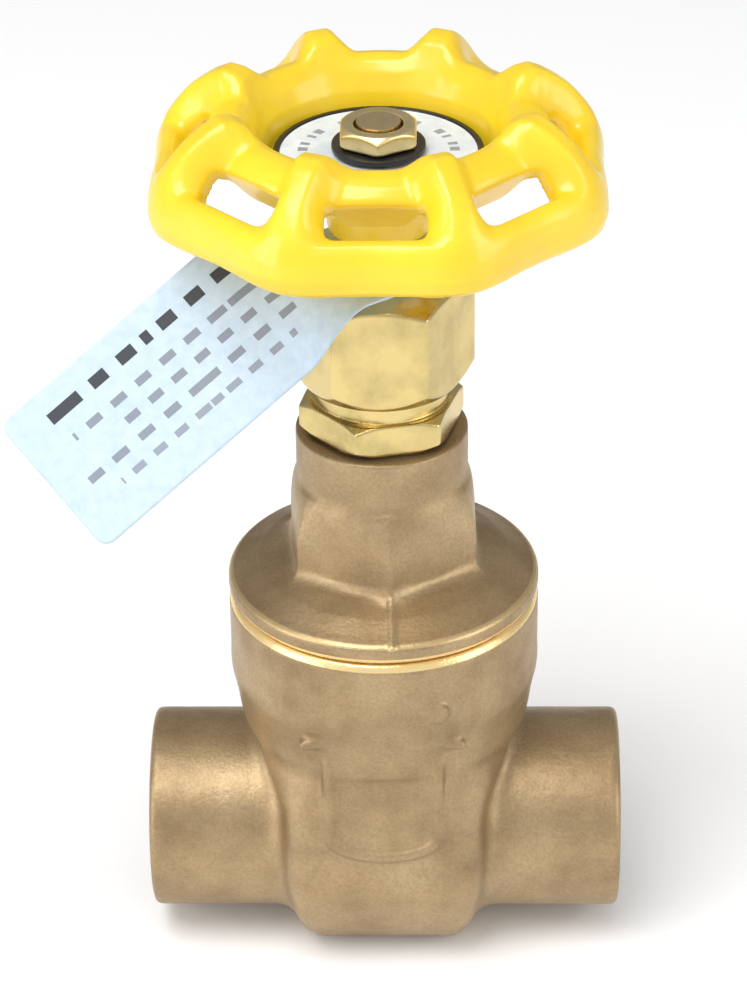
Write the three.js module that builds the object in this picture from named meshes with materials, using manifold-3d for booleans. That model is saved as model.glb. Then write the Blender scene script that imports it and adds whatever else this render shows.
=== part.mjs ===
// A 3/4 in bronze gate valve with solder-cup ends, a screw-in bonnet and a non-rising stem.
// Millimetres, +Z up along the stem, +X along the flow. The origin is the centre of the flat foot.
// The wedge is seated (valve closed); turning the wheel anticlockwise seen from above lifts it.
import * as THREE from "three";
import { ConvexGeometry } from "three/addons/geometries/ConvexGeometry.js";
import { mergeVertices } from "three/addons/utils/BufferGeometryUtils.js";
import Module from "manifold-3d";

// Driving dimensions.
const PORT_Z = 15.5; // height of the flow axis above the flat foot
const HALF_LENGTH = 31; // end to end is 62
const CUP_OUTER_R = 13.25;
const CUP_BORE_R = 11.15; // takes a 22.2 mm copper tube
const CUP_DEPTH = 19;
const WATERWAY_R = 9.3;
const CHEST_R = 17.5; // U-shaped pocket round the flow axis
const CHEST_HALF_X = 12.8;
const FOOT_HALF_X = 9.4;
const POCKET_R = 13.8; // inside of the U
const POCKET_HALF_X = 8.6;
const SHOULDER_Z = PORT_Z + 8; // the pocket starts to flare towards the collar here
const COLLAR_FOOT_Z = PORT_Z + 18.6;
const COLLAR_FOOT_R = 18.3;
const COLLAR_R = 20;
const COLLAR_STRAIGHT_Z = PORT_Z + 24.2;
const JOINT_Z = PORT_Z + 35.4; // face between body and bonnet
const BONNET_THREAD_R = 15.3;
const BONNET_SPIGOT_Z = PORT_Z + 25.5;
const BONNET_FLANGE_TOP_Z = PORT_Z + 38.4;
const BONNET_HEX_FLATS = 22.9;
const BONNET_HEX_TURN = (5.4 * Math.PI) / 180;
const BONNET_HEX_FOOT_Z = PORT_Z + 40.6;
const BONNET_HEX_TOP_Z = PORT_Z + 51.2;
const BONNET_NECK_R = 10.9;
const BONNET_TOP_Z = PORT_Z + 59.3;
const STUFFING_HEX_FLATS = 18.5;
const STUFFING_HEX_TOP_Z = PORT_Z + 63.8;
const STUFFING_NECK_R = 8.6;
const STUFFING_TOP_Z = PORT_Z + 74;
const PACKING_CHAMBER_R = 6.6;
const PACKING_FLOOR_Z = PORT_Z + 57.5;
const PACKING_RING_HEIGHT = 3;
const PACKING_RINGS = ["lower", "middle", "upper"];
const PACKING_NUT_FLATS = 20.4;
const PACKING_NUT_FOOT_Z = PORT_Z + 66.2;
const PACKING_NUT_SHOULDER_Z = PORT_Z + 79.6;
const PACKING_NUT_TOP_Z = PORT_Z + 82.4;
const STEM_R = 3.95;
const STEM_FOOT_Z = PORT_Z + 11.7;
const STEM_COLLAR_Z = PORT_Z + 51.6;
const STEM_COLLAR_R = 6.4;
const STEM_COLLAR_HEIGHT = 2.6;
const HUB_FOOT_Z = PORT_Z + 86.4;
const CUP_FLOOR_Z = PORT_Z + 96.2; // floor of the wheel's dish
const STEM_SQUARE = 6.2;
const STEM_STUD_R = 2.7;
const STEM_TOP_Z = PORT_Z + 100.9;
const WEDGE_R = 11.2;
const WEDGE_HALF_X = 6; // at the flow axis
const WEDGE_TAPER = Math.tan((5 * Math.PI) / 180);
const WEDGE_TOP_H = 16; // above the flow axis
const WEDGE_BOSS_HALF_Y = 6.5;
const WEDGE_BORE_R = 4.3;
const WEDGE_BORE_FOOT_H = -9.6;
const KNUCKLES = 8; // raised ribs from the dish to the rim, with a window between each two
const KNUCKLE_TOP_HALF = 1; // half the width over which a knuckle keeps its full height
const KNUCKLE_FOOT_HALF = 4.3; // half the width of its foot
const RIM_SIDE_R = 27.2; // the rim has eight nearly flat sides, one outside each window
const RIM_CORNER_R = 29.1;
const WINDOW_R = 23.1; // middle of a window at its height below
const WINDOW_Z = PORT_Z + 99;
const WINDOW_WIDTH = 11.9;
const WINDOW_HEIGHT = 4.6;
const WINDOW_SLANT = Math.PI / 5; // a window leans inwards on its way down
const DISH_R = 13.2;
const PLATE_R = 12.8;
const PLATE_THICKNESS = 0.6;
const WASHER_R = 5.7;
const WASHER_THICKNESS = 0.7;
const WHEEL_NUT_FLATS = 9.2;
const WHEEL_NUT_HEIGHT = 2.3;
const TAG_WIDTH = 19.6;
const TAG_THICKNESS = 0.4;
const TAG_LENGTH = 60;
const TAG_BEHIND = 9; // how far the tag reaches past the stem's axis, away from its free end
const TAG_HOLE_R = 4.8;
const GAP = 0.3; // running clearance between neighbouring solids

const FINE = 40;
const COARSE = 24;

const wasm = await Module();
wasm.setup();

// Materials: cast bronze, machined brass, painted alloy, and the small trim.
const paint = (color, roughness, metalness) => new THREE.MeshStandardMaterial({ color, roughness, metalness });
const CAST_BRONZE = paint(0xa98a62, 0.55, 0.85);
const MACHINED_BRASS = paint(0xdcc070, 0.28, 0.95);
const STEM_BRONZE = paint(0xb09058, 0.35, 0.9);
const YELLOW_PAINT = paint(0xf8d820, 0.35, 0);
const NUT_BRASS = paint(0xb8a078, 0.35, 0.9);
const PLATE_WHITE = paint(0xe6ecf0, 0.4, 0.1);
const WASHER_BLACK = paint(0x202020, 0.6, 0.2);
const PACKING_GREY = paint(0x3c3c3a, 0.9, 0);
const TAG_PAPER = paint(0xe8f2f8, 0.8, 0);

// A closed three.js geometry as a solid, moved by an optional matrix.
function solid(geometry, matrix = new THREE.Matrix4()) {
  const bare = geometry.clone();
  for (const name of Object.keys(bare.attributes)) if (name !== "position") bare.deleteAttribute(name);
  const merged = mergeVertices(bare.applyMatrix4(matrix), 1e-4);
  const triVerts = new Uint32Array(merged.index.array);
  return new wasm.Manifold(
    new wasm.Mesh({ numProp: 3, vertProperties: merged.attributes.position.array, triVerts }),
  );
}

function meshOf(name, made, material) {
  const out = made.getMesh();
  const geometry = new THREE.BufferGeometry();
  geometry.setAttribute("position", new THREE.BufferAttribute(new Float32Array(out.vertProperties), 3));
  geometry.setIndex(new THREE.BufferAttribute(new Uint32Array(out.triVerts), 1));
  geometry.computeVertexNormals();
  const mesh = new THREE.Mesh(geometry, material);
  mesh.name = name;
  return mesh;
}

const move = (x, y, z) => new THREE.Matrix4().makeTranslation(x, y, z);
const LATHE_TO_Z = new THREE.Matrix4().makeRotationX(Math.PI / 2);
const Z_TO_X = new THREE.Matrix4().makeRotationY(Math.PI / 2);

// A profile of [radius, z] points turned about the Z axis. It runs up the outside and down the inside.
function turned(points, segments = FINE) {
  const profile = points.map(([r, z]) => new THREE.Vector2(r, z));
  const first = profile[0];
  const last = profile[profile.length - 1];
  if (first.x > 0 || last.x > 0) profile.push(first.clone());
  return solid(new THREE.LatheGeometry(profile, segments), LATHE_TO_Z);
}

const rod = (r, low, high, segments = FINE) =>
  turned([[0, low], [r, low], [r, high], [0, high]], segments);
const tube = (inner, outer, low, high, segments = COARSE) =>
  turned([[outer, low], [outer, high], [inner, high], [inner, low]], segments);

// A rod along X, centred on the flow axis.
const flowRod = (r, low, high, segments = FINE) =>
  rod(r, low, high, segments).transform(move(0, 0, PORT_Z).multiply(Z_TO_X).elements);

function block(x0, x1, y0, y1, z0, z1) {
  const box = new THREE.BoxGeometry(x1 - x0, y1 - y0, z1 - z0);
  return solid(box, move((x0 + x1) / 2, (y0 + y1) / 2, (z0 + z1) / 2));
}

// A hexagonal prism. With turn 0 a corner points along -Y, towards the front.
function hexPrism(flats, low, high, turn = 0) {
  const shape = new THREE.Shape();
  const corner = flats / Math.sqrt(3);
  for (let i = 0; i < 6; i++) {
    const a = turn - Math.PI / 2 + (i * Math.PI) / 3;
    const point = [corner * Math.cos(a), corner * Math.sin(a)];
    if (i === 0) shape.moveTo(...point);
    else shape.lineTo(...point);
  }
  return solid(new THREE.ExtrudeGeometry(shape, { depth: high - low, bevelEnabled: false }), move(0, 0, low));
}

const hull = (points) => solid(new ConvexGeometry(points.map((p) => new THREE.Vector3(...p))));
const arc = (from, to, steps) =>
  Array.from({ length: steps + 1 }, (_, i) => from + ((to - from) * i) / steps);

// ---------- body ----------

function chestLower() {
  const points = [];
  const halfX = (h) => THREE.MathUtils.mapLinear(h, -PORT_Z, 8, FOOT_HALF_X, CHEST_HALF_X);
  for (const a of arc(0, Math.PI, 18)) {
    const y = CHEST_R * Math.cos(a);
    const h = Math.max(-CHEST_R * Math.sin(a), -PORT_Z);
    const wide = Math.max(halfX(Math.min(h * 1.35 + 3, 8)), FOOT_HALF_X);
    for (const side of [-1, 1]) points.push([side * wide, y, PORT_Z + h]);
  }
  for (const y of [-CHEST_R, CHEST_R])
    for (const side of [-1, 1]) points.push([side * CHEST_HALF_X, y * 0.99, SHOULDER_Z]);
  return hull(points);
}

function chestUpper() {
  const points = [];
  for (const a of arc(0, 2 * Math.PI, FINE).slice(1))
    points.push([COLLAR_FOOT_R * Math.cos(a), COLLAR_FOOT_R * Math.sin(a), COLLAR_FOOT_Z]);
  for (const x of [-CHEST_HALF_X, CHEST_HALF_X])
    for (const y of [-CHEST_R * 0.99, CHEST_R * 0.99]) {
      points.push([x, y * 0.82, SHOULDER_Z]);
      points.push([x * 0.8, y, SHOULDER_Z]);
    }
  return hull(points);
}

function seatBosses() {
  const boss = flowRod(WEDGE_R + 0.6, -POCKET_HALF_X - 1, POCKET_HALF_X + 1, COARSE);
  return boss.subtract(taperedSlab(WEDGE_HALF_X + GAP, -14, 14, 16));
}

// A slab between two seat planes: its half thickness along X grows upwards with the wedge taper.
function taperedSlab(halfAtAxis, lowH, highH, halfY) {
  const points = [];
  for (const h of [lowH, highH])
    for (const x of [-1, 1])
      for (const y of [-halfY, halfY]) points.push([x * (halfAtAxis + h * WEDGE_TAPER), y, PORT_Z + h]);
  return hull(points);
}

function makeBody() {
  const collar = turned([
    [0, COLLAR_FOOT_Z - 1], [COLLAR_FOOT_R, COLLAR_FOOT_Z - 1], [COLLAR_FOOT_R + 0.5, COLLAR_FOOT_Z + 2.4],
    [COLLAR_R - 0.2, COLLAR_STRAIGHT_Z], [COLLAR_R, COLLAR_STRAIGHT_Z + 2],
    [COLLAR_R, JOINT_Z - 0.6], [COLLAR_R - 0.4, JOINT_Z], [0, JOINT_Z],
  ]);
  const cupEdge = 0.8;
  const ends = turned([
    [0, -HALF_LENGTH], [CUP_OUTER_R - cupEdge, -HALF_LENGTH], [CUP_OUTER_R, -HALF_LENGTH + cupEdge],
    [CUP_OUTER_R, HALF_LENGTH - cupEdge], [CUP_OUTER_R - cupEdge, HALF_LENGTH], [0, HALF_LENGTH],
  ]).transform(move(0, 0, PORT_Z).multiply(Z_TO_X).elements);
  const pocketLow = flowRod(POCKET_R, -POCKET_HALF_X, POCKET_HALF_X, FINE);
  const pocketHigh = block(-POCKET_HALF_X, POCKET_HALF_X, -POCKET_R, POCKET_R, PORT_Z, PORT_Z + 22);
  const neck = rod(14.6, PORT_Z + 20, JOINT_Z, FINE);
  const thread = rod(BONNET_THREAD_R + GAP, BONNET_SPIGOT_Z - GAP, JOINT_Z + 1, FINE);
  let made = chestLower().add(chestUpper()).add(collar).add(ends);
  made = made.subtract(pocketLow.add(pocketHigh).subtract(seatBosses())).subtract(neck).subtract(thread);
  made = made.subtract(flowRod(WATERWAY_R, -HALF_LENGTH, HALF_LENGTH, COARSE));
  for (const side of [-1, 1]) {
    const stop = HALF_LENGTH - CUP_DEPTH;
    const [low, high] = side > 0 ? [stop, HALF_LENGTH + 1] : [-HALF_LENGTH - 1, -stop];
    made = made.subtract(flowRod(CUP_BORE_R, low, high, FINE));
  }
  return meshOf("body", made, CAST_BRONZE);
}

// ---------- wedge ----------

function makeWedge() {
  const disc = flowRod(WEDGE_R, -12, 12, COARSE).intersect(taperedSlab(WEDGE_HALF_X, -12, 12, 14));
  const boss = taperedSlab(WEDGE_HALF_X, 0, WEDGE_TOP_H, WEDGE_BOSS_HALF_Y);
  const bore = rod(WEDGE_BORE_R, PORT_Z + WEDGE_BORE_FOOT_H, PORT_Z + WEDGE_TOP_H + 1, COARSE);
  return meshOf("wedge", disc.add(boss).subtract(bore), CAST_BRONZE);
}

// ---------- bonnet ----------

function makeBonnet() {
  const domeFoot = BONNET_FLANGE_TOP_Z - 0.5;
  const dome = arc(0, 1, 5).map((t) => [
    THREE.MathUtils.lerp(COLLAR_R - 0.5, BONNET_NECK_R + 1.2, t),
    BONNET_FLANGE_TOP_Z + (BONNET_HEX_FOOT_Z + 0.9 - BONNET_FLANGE_TOP_Z) * Math.sin((t * Math.PI) / 2),
  ]);
  const shell = turned([
    [0, BONNET_SPIGOT_Z], [BONNET_THREAD_R - 0.5, BONNET_SPIGOT_Z], [BONNET_THREAD_R, BONNET_SPIGOT_Z + 0.5],
    [BONNET_THREAD_R, JOINT_Z + GAP], [COLLAR_R - 0.4, JOINT_Z + GAP], [COLLAR_R, JOINT_Z + GAP + 0.4],
    [COLLAR_R, domeFoot], ...dome, [BONNET_NECK_R, BONNET_HEX_FOOT_Z + 1.5], [BONNET_NECK_R, BONNET_TOP_Z],
    [0, BONNET_TOP_Z],
  ]);
  const hex = hexPrism(BONNET_HEX_FLATS, BONNET_HEX_FOOT_Z - 1, BONNET_HEX_TOP_Z, BONNET_HEX_TURN);
  const hexCrown = turned([
    [0, BONNET_HEX_FOOT_Z - 2], [BONNET_HEX_FLATS, BONNET_HEX_FOOT_Z - 2], [BONNET_HEX_FLATS, BONNET_HEX_TOP_Z - 10],
    [BONNET_NECK_R, BONNET_HEX_TOP_Z], [0, BONNET_HEX_TOP_Z],
  ]);
  const cavity = turned([
    [0, BONNET_SPIGOT_Z - 1], [13.4, BONNET_SPIGOT_Z - 1], [13.4, PORT_Z + 34], [10.6, PORT_Z + 37.6],
    [0, PORT_Z + 37.6],
  ], COARSE);
  const stemHole = rod(STEM_R + GAP, PORT_Z + 37, STEM_COLLAR_Z, COARSE);
  const collarSeat = rod(STEM_COLLAR_R + GAP, STEM_COLLAR_Z - GAP, STEM_COLLAR_Z + 4, COARSE);
  const boxThread = rod(8.2, STEM_COLLAR_Z + STEM_COLLAR_HEIGHT, BONNET_TOP_Z + 1, COARSE);
  const made = shell.add(hex.intersect(hexCrown));
  return meshOf(
    "bonnet",
    made.subtract(cavity).subtract(stemHole).subtract(collarSeat).subtract(boxThread),
    CAST_BRONZE,
  );
}

// ---------- stem ----------

function makeStem() {
  const below = rod(STEM_R, STEM_FOOT_Z, HUB_FOOT_Z - 0.5, COARSE);
  const collar = rod(STEM_COLLAR_R, STEM_COLLAR_Z, STEM_COLLAR_Z + STEM_COLLAR_HEIGHT, COARSE);
  const half = STEM_SQUARE / 2;
  const square = block(-half, half, -half, half, HUB_FOOT_Z - 0.6, CUP_FLOOR_Z - GAP);
  const stud = rod(STEM_STUD_R, CUP_FLOOR_Z - 1, STEM_TOP_Z, 24);
  return meshOf("stem", below.add(collar).add(square).add(stud), STEM_BRONZE);
}

// ---------- stuffing box, packing, gland and packing nut ----------

function makeStuffingBox() {
  const hexFoot = BONNET_TOP_Z + GAP;
  const turn = (-16.6 * Math.PI) / 180;
  const hex = hexPrism(STUFFING_HEX_FLATS, hexFoot, STUFFING_HEX_TOP_Z, turn);
  const corner = STUFFING_HEX_FLATS / Math.sqrt(3);
  const rounded = turned([
    [0, hexFoot], [corner - 1.1, hexFoot], [corner, hexFoot + 0.8], [corner, STUFFING_HEX_TOP_Z - 0.7],
    [corner - 1.2, STUFFING_HEX_TOP_Z], [0, STUFFING_HEX_TOP_Z],
  ]);
  const spigot = rod(7.9, STEM_COLLAR_Z + STEM_COLLAR_HEIGHT + GAP, hexFoot + 1, COARSE);
  const neck = rod(STUFFING_NECK_R, hexFoot + 1, STUFFING_TOP_Z, COARSE);
  const chamber = rod(PACKING_CHAMBER_R, PACKING_FLOOR_Z, STUFFING_TOP_Z + 1, COARSE);
  const stemHole = rod(STEM_R + GAP, STEM_COLLAR_Z, PACKING_FLOOR_Z + 1, COARSE);
  const made = hex.intersect(rounded).add(spigot).add(neck).subtract(chamber).subtract(stemHole);
  return meshOf("stuffing_box", made, MACHINED_BRASS);
}

function makePackingRings() {
  return PACKING_RINGS.map((name, i) => {
    const low = PACKING_FLOOR_Z + GAP + i * (PACKING_RING_HEIGHT + GAP);
    const made = tube(STEM_R + GAP, PACKING_CHAMBER_R - GAP, low, low + PACKING_RING_HEIGHT, 24);
    return meshOf("packing_ring_" + name, made, PACKING_GREY);
  });
}

function makeGland() {
  const foot = PACKING_FLOOR_Z + GAP + PACKING_RINGS.length * (PACKING_RING_HEIGHT + GAP);
  const head = STUFFING_TOP_Z + GAP;
  const made = turned([
    [PACKING_CHAMBER_R - GAP, foot], [PACKING_CHAMBER_R - GAP, head], [STUFFING_NECK_R - 0.4, head],
    [STUFFING_NECK_R - 0.4, head + 2.2], [STEM_R + GAP, head + 2.2], [STEM_R + GAP, foot],
  ], COARSE);
  return meshOf("packing_gland", made, MACHINED_BRASS);
}

function makePackingNut() {
  const hex = hexPrism(PACKING_NUT_FLATS, PACKING_NUT_FOOT_Z, PACKING_NUT_TOP_Z, Math.PI / 6);
  const corner = PACKING_NUT_FLATS / Math.sqrt(3);
  const rounded = turned([
    [0, PACKING_NUT_FOOT_Z], [corner - 2.1, PACKING_NUT_FOOT_Z], [corner, PACKING_NUT_FOOT_Z + 2.2],
    [corner, PACKING_NUT_SHOULDER_Z - 0.6], [corner - 2, PACKING_NUT_SHOULDER_Z + 0.6],
    [corner - 4.2, PACKING_NUT_TOP_Z], [0, PACKING_NUT_TOP_Z],
  ]);
  const inside = rod(STUFFING_NECK_R + GAP, PACKING_NUT_FOOT_Z - 1, STUFFING_TOP_Z + 2.8, COARSE);
  const stemHole = rod(STEM_R + GAP + 0.1, PACKING_NUT_FOOT_Z, PACKING_NUT_TOP_Z + 1, COARSE);
  const made = hex.intersect(rounded).subtract(inside).subtract(stemHole);
  return meshOf("packing_nut", made, MACHINED_BRASS);
}

// ---------- hand wheel ----------

// Angle from the middle of the nearest window. A window faces -Y.
function angleFromWindow(angle) {
  const turns = ((angle + Math.PI / 2) * KNUCKLES) / (2 * Math.PI);
  return (Math.abs(turns - Math.round(turns)) * 2 * Math.PI) / KNUCKLES;
}

// The wheel's skin as [radius at a window, height there, radius at a knuckle, height there]. Heights are above
// the flow axis. It runs from the dish over the crest and the rim, and back along the hollow underside.
const WHEEL_SKIN = [
  [DISH_R, 96.2, DISH_R, 96.2],
  [13.8, 98.6, 14.0, 98.8],
  [14.8, 100.7, 15.3, 101.0],
  [15.8, 101.9, 16.4, 102.6],
  [17.0, 102.4, 17.2, 103.9],
  [18.4, 102.1, 18.4, 104.6],
  [19.6, 101.4, 20.1, 104.8],
  [20.6, 100.3, 21.8, 104.0],
  [21.4, 99.2, 23.4, 102.9],
  [22.6, 98.2, 24.9, 101.7],
  [24.0, 97.6, 26.1, 100.4],
  [25.2, 97.6, 27.1, 99.1],
  [26.2, 97.3, 27.9, 97.9],
  [26.9, 96.4, 28.5, 96.4],
  [RIM_SIDE_R, 95.0, 28.9, 94.8],
  [RIM_SIDE_R, 93.0, RIM_CORNER_R, 93.0],
  [RIM_SIDE_R - 0.4, 91.4, RIM_CORNER_R - 0.4, 91.4],
  [RIM_SIDE_R - 1.4, 90.5, RIM_CORNER_R - 1.5, 90.5],
  [24.8, 91.6, 26.4, 91.8],
  [24.0, 93.6, 25.8, 94.4],
  [22.4, 94.6, 24.8, 97.2],
  [20.8, 94.8, 23.2, 99.4],
  [19.2, 95.0, 20.6, 100.8],
  [17.6, 95.2, 18.4, 100.2],
  [16.2, 95.2, 16.3, 98.0],
  [14.9, 94.6, 14.9, 94.6],
  [8.0, 94.2, 8.0, 94.2],
  [8.0, 96.2, 8.0, 96.2],
];

const RIM_POINTS = [10, 20]; // first and last point of the skin that follow the rim's eight sides

function wheelRay(angle) {
  const { lerp, smoothstep } = THREE.MathUtils;
  const half = Math.PI / KNUCKLES;
  const off = angleFromWindow(angle);
  const corner = 2 * (off / half) ** 2 - (off / half) ** 4;
  return WHEEL_SKIN.map(([r0, h0, r1, h1], i) => {
    const knuckle = 1 - smoothstep(r1 * (half - off), KNUCKLE_TOP_HALF, KNUCKLE_FOOT_HALF);
    const share = i < RIM_POINTS[0] || i > RIM_POINTS[1] ? knuckle : corner;
    return [lerp(r0, r1, share), lerp(h0, h1, knuckle)];
  });
}

// A closed ring skinned over rays: every ray has the same number of points, and the last joins the first.
function ringOfRays(rayAt, rays) {
  const positions = [];
  const index = [];
  const all = arc(0, 2 * Math.PI, rays).slice(0, rays).map((a) => [a, rayAt(a)]);
  for (const [a, ray] of all)
    for (const [r, h] of ray) positions.push(r * Math.cos(a), r * Math.sin(a), PORT_Z + h);
  const count = all[0][1].length;
  for (let i = 0; i < rays; i++)
    for (let j = 0; j < count; j++) {
      const a = i * count + j;
      const b = i * count + ((j + 1) % count);
      const c = ((i + 1) % rays) * count + ((j + 1) % count);
      const d = ((i + 1) % rays) * count + j;
      index.push(a, b, c, a, c, d);
    }
  const geometry = new THREE.BufferGeometry();
  geometry.setAttribute("position", new THREE.BufferAttribute(new Float32Array(positions), 3));
  geometry.setIndex(index);
  return solid(geometry);
}

// One window: a rounded slot that leans towards the hub on its way down.
function wheelWindow(angle) {
  const wide = WINDOW_WIDTH / 2;
  const high = WINDOW_HEIGHT / 2;
  const corner = 1.5;
  const shape = new THREE.Shape();
  shape.moveTo(-high, corner - wide);
  shape.quadraticCurveTo(-high, -wide, corner - high, -wide);
  shape.lineTo(high - corner, -wide);
  shape.quadraticCurveTo(high, -wide, high, corner - wide);
  shape.lineTo(high, wide - corner);
  shape.quadraticCurveTo(high, wide, high - corner, wide);
  shape.lineTo(corner - high, wide);
  shape.quadraticCurveTo(-high, wide, -high, wide - corner);
  const prism = new THREE.ExtrudeGeometry(shape, { depth: 18, bevelEnabled: false, curveSegments: 3 });
  const place = new THREE.Matrix4().makeRotationZ(angle).multiply(move(WINDOW_R, 0, WINDOW_Z));
  place.multiply(new THREE.Matrix4().makeRotationY(WINDOW_SLANT)).multiply(move(0, 0, -12));
  return solid(prism, place);
}

function makeHandwheel() {
  let made = ringOfRays(wheelRay, KNUCKLES * 16);
  const hub = turned([
    [0, HUB_FOOT_Z], [5.6, HUB_FOOT_Z], [6.4, HUB_FOOT_Z + 0.8], [7.4, PORT_Z + 94.1], [8.6, PORT_Z + 94.1],
    [8.6, CUP_FLOOR_Z], [0, CUP_FLOOR_Z],
  ], COARSE);
  made = made.add(hub);
  for (let i = 0; i < KNUCKLES; i++) {
    made = made.subtract(wheelWindow(-Math.PI / 2 + (i * 2 * Math.PI) / KNUCKLES));
  }
  const half = STEM_SQUARE / 2 + GAP;
  made = made.subtract(block(-half, half, -half, half, HUB_FOOT_Z - 1, CUP_FLOOR_Z + 1));
  return meshOf("handwheel", made, YELLOW_PAINT);
}

function makePlateAndNut() {
  const plateZ = CUP_FLOOR_Z + GAP;
  const washerZ = plateZ + PLATE_THICKNESS + GAP;
  const nutZ = washerZ + WASHER_THICKNESS + GAP;
  const hole = STEM_STUD_R + GAP;
  const plate = tube(hole, PLATE_R, plateZ, plateZ + PLATE_THICKNESS, FINE);
  const washer = tube(hole, WASHER_R, washerZ, washerZ + WASHER_THICKNESS, COARSE);
  const corner = WHEEL_NUT_FLATS / Math.sqrt(3);
  const nutTop = nutZ + WHEEL_NUT_HEIGHT;
  const crown = turned([
    [0, nutZ], [corner - 0.3, nutZ], [corner, nutZ + 0.4], [corner, nutTop - 0.8], [corner - 0.9, nutTop], [0, nutTop],
  ], COARSE);
  const nut = hexPrism(WHEEL_NUT_FLATS, nutZ, nutTop, 0).intersect(crown).subtract(rod(hole, nutZ - 1, nutTop + 1, 24));
  return [
    meshOf("nameplate", plate, PLATE_WHITE),
    meshOf("wheel_washer", washer, WASHER_BLACK),
    meshOf("wheel_nut", nut, NUT_BRASS),
  ];
}

// ---------- paper hang tag ----------

// The tag lies flat round the stem, then droops and twists down to the left of the valve.
function tagFrame(s) {
  const bend = THREE.MathUtils.smoothstep(s, 8.5, 20);
  const level = new THREE.Vector3(-0.8, -0.6, 0);
  const hanging = new THREE.Vector3(-0.759, -0.335, -0.561);
  const along = level.clone().lerp(hanging, bend).normalize();
  const acrossLevel = new THREE.Vector3(-0.6, 0.8, 0);
  const acrossHanging = new THREE.Vector3(-0.707, 0.363, 0.607);
  const across = acrossLevel.clone().lerp(acrossHanging, bend);
  across.addScaledVector(along, -across.dot(along)).normalize();
  return { along, across, normal: new THREE.Vector3().crossVectors(across, along).normalize() };
}

function makeHangTag() {
  const steps = 24;
  const centre = new THREE.Vector3(0, 0, PACKING_NUT_TOP_Z + GAP);
  centre.addScaledVector(tagFrame(0).along, -TAG_BEHIND);
  const rows = [];
  const step = TAG_LENGTH / steps;
  for (let i = 0; i <= steps; i++) {
    const s = i * step - TAG_BEHIND;
    const frame = tagFrame(s);
    rows.push(
      [-1, -0.5, 0, 0.5, 1].map((side) => centre.clone().addScaledVector(frame.across, (side * TAG_WIDTH) / 2)),
    );
    rows[i].normal = frame.normal;
    centre.addScaledVector(tagFrame(s + step / 2).along, step);
  }
  const columns = rows[0].length;
  const positions = [];
  const index = [];
  for (const lift of [0, TAG_THICKNESS])
    for (const row of rows)
      for (const point of row) positions.push(...point.clone().addScaledVector(row.normal, lift).toArray());
  const at = (layer, i, j) => layer * (steps + 1) * columns + i * columns + j;
  const quad = (a, b, c, d) => index.push(a, b, c, a, c, d);
  for (let i = 0; i < steps; i++)
    for (let j = 0; j + 1 < columns; j++) {
      quad(at(1, i, j), at(1, i, j + 1), at(1, i + 1, j + 1), at(1, i + 1, j));
      quad(at(0, i, j), at(0, i + 1, j), at(0, i + 1, j + 1), at(0, i, j + 1));
    }
  for (let i = 0; i < steps; i++) {
    quad(at(0, i, 0), at(1, i, 0), at(1, i + 1, 0), at(0, i + 1, 0));
    quad(at(0, i, columns - 1), at(0, i + 1, columns - 1), at(1, i + 1, columns - 1), at(1, i, columns - 1));
  }
  for (let j = 0; j + 1 < columns; j++) {
    quad(at(0, 0, j), at(0, 0, j + 1), at(1, 0, j + 1), at(1, 0, j));
    quad(at(0, steps, j), at(1, steps, j), at(1, steps, j + 1), at(0, steps, j + 1));
  }
  const geometry = new THREE.BufferGeometry();
  geometry.setAttribute("position", new THREE.BufferAttribute(new Float32Array(positions), 3));
  geometry.setIndex(index);
  const hole = rod(TAG_HOLE_R, PACKING_NUT_TOP_Z - 2, PACKING_NUT_TOP_Z + 3, COARSE);
  return meshOf("hang_tag", solid(geometry).subtract(hole), TAG_PAPER);
}

const valve = new THREE.Group();
valve.add(makeBody(), makeWedge(), makeBonnet(), makeStem(), makeStuffingBox(), ...makePackingRings());
valve.add(makeGland(), makePackingNut(), makeHandwheel(), ...makePlateAndNut(), makeHangTag());

export default valve;
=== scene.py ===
"""A bronze gate valve with a yellow hand wheel and a paper hang tag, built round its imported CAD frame.

Shapes are worked out in millimetres as distance fields (negative inside) and skinned into meshes, which
gives castings their soft fillets and machined parts their small edge breaks. Blender objects are in metres.
"""

import math

import bpy
import numpy as np
from mathutils import Matrix, Vector


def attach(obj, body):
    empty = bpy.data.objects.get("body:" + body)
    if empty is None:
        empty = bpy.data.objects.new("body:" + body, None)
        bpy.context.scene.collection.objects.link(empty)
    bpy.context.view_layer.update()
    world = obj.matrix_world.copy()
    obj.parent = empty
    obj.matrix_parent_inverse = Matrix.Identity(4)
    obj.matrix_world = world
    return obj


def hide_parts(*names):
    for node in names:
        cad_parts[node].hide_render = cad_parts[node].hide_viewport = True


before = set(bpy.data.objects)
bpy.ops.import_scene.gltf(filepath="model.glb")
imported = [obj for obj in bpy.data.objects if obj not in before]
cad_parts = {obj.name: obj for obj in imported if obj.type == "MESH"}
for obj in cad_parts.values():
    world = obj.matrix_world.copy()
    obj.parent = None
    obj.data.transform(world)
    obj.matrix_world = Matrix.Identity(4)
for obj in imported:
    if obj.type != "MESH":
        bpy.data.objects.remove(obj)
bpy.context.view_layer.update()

MM = 0.001

# ---------- sizes, in millimetres ----------
# They are the CAD part's, with these exceptions. The tag is thinner here and has rounded corners. The chest
# has rounded upright edges, and it widens as far as 20 above the flow axis instead of 18.6.

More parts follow.
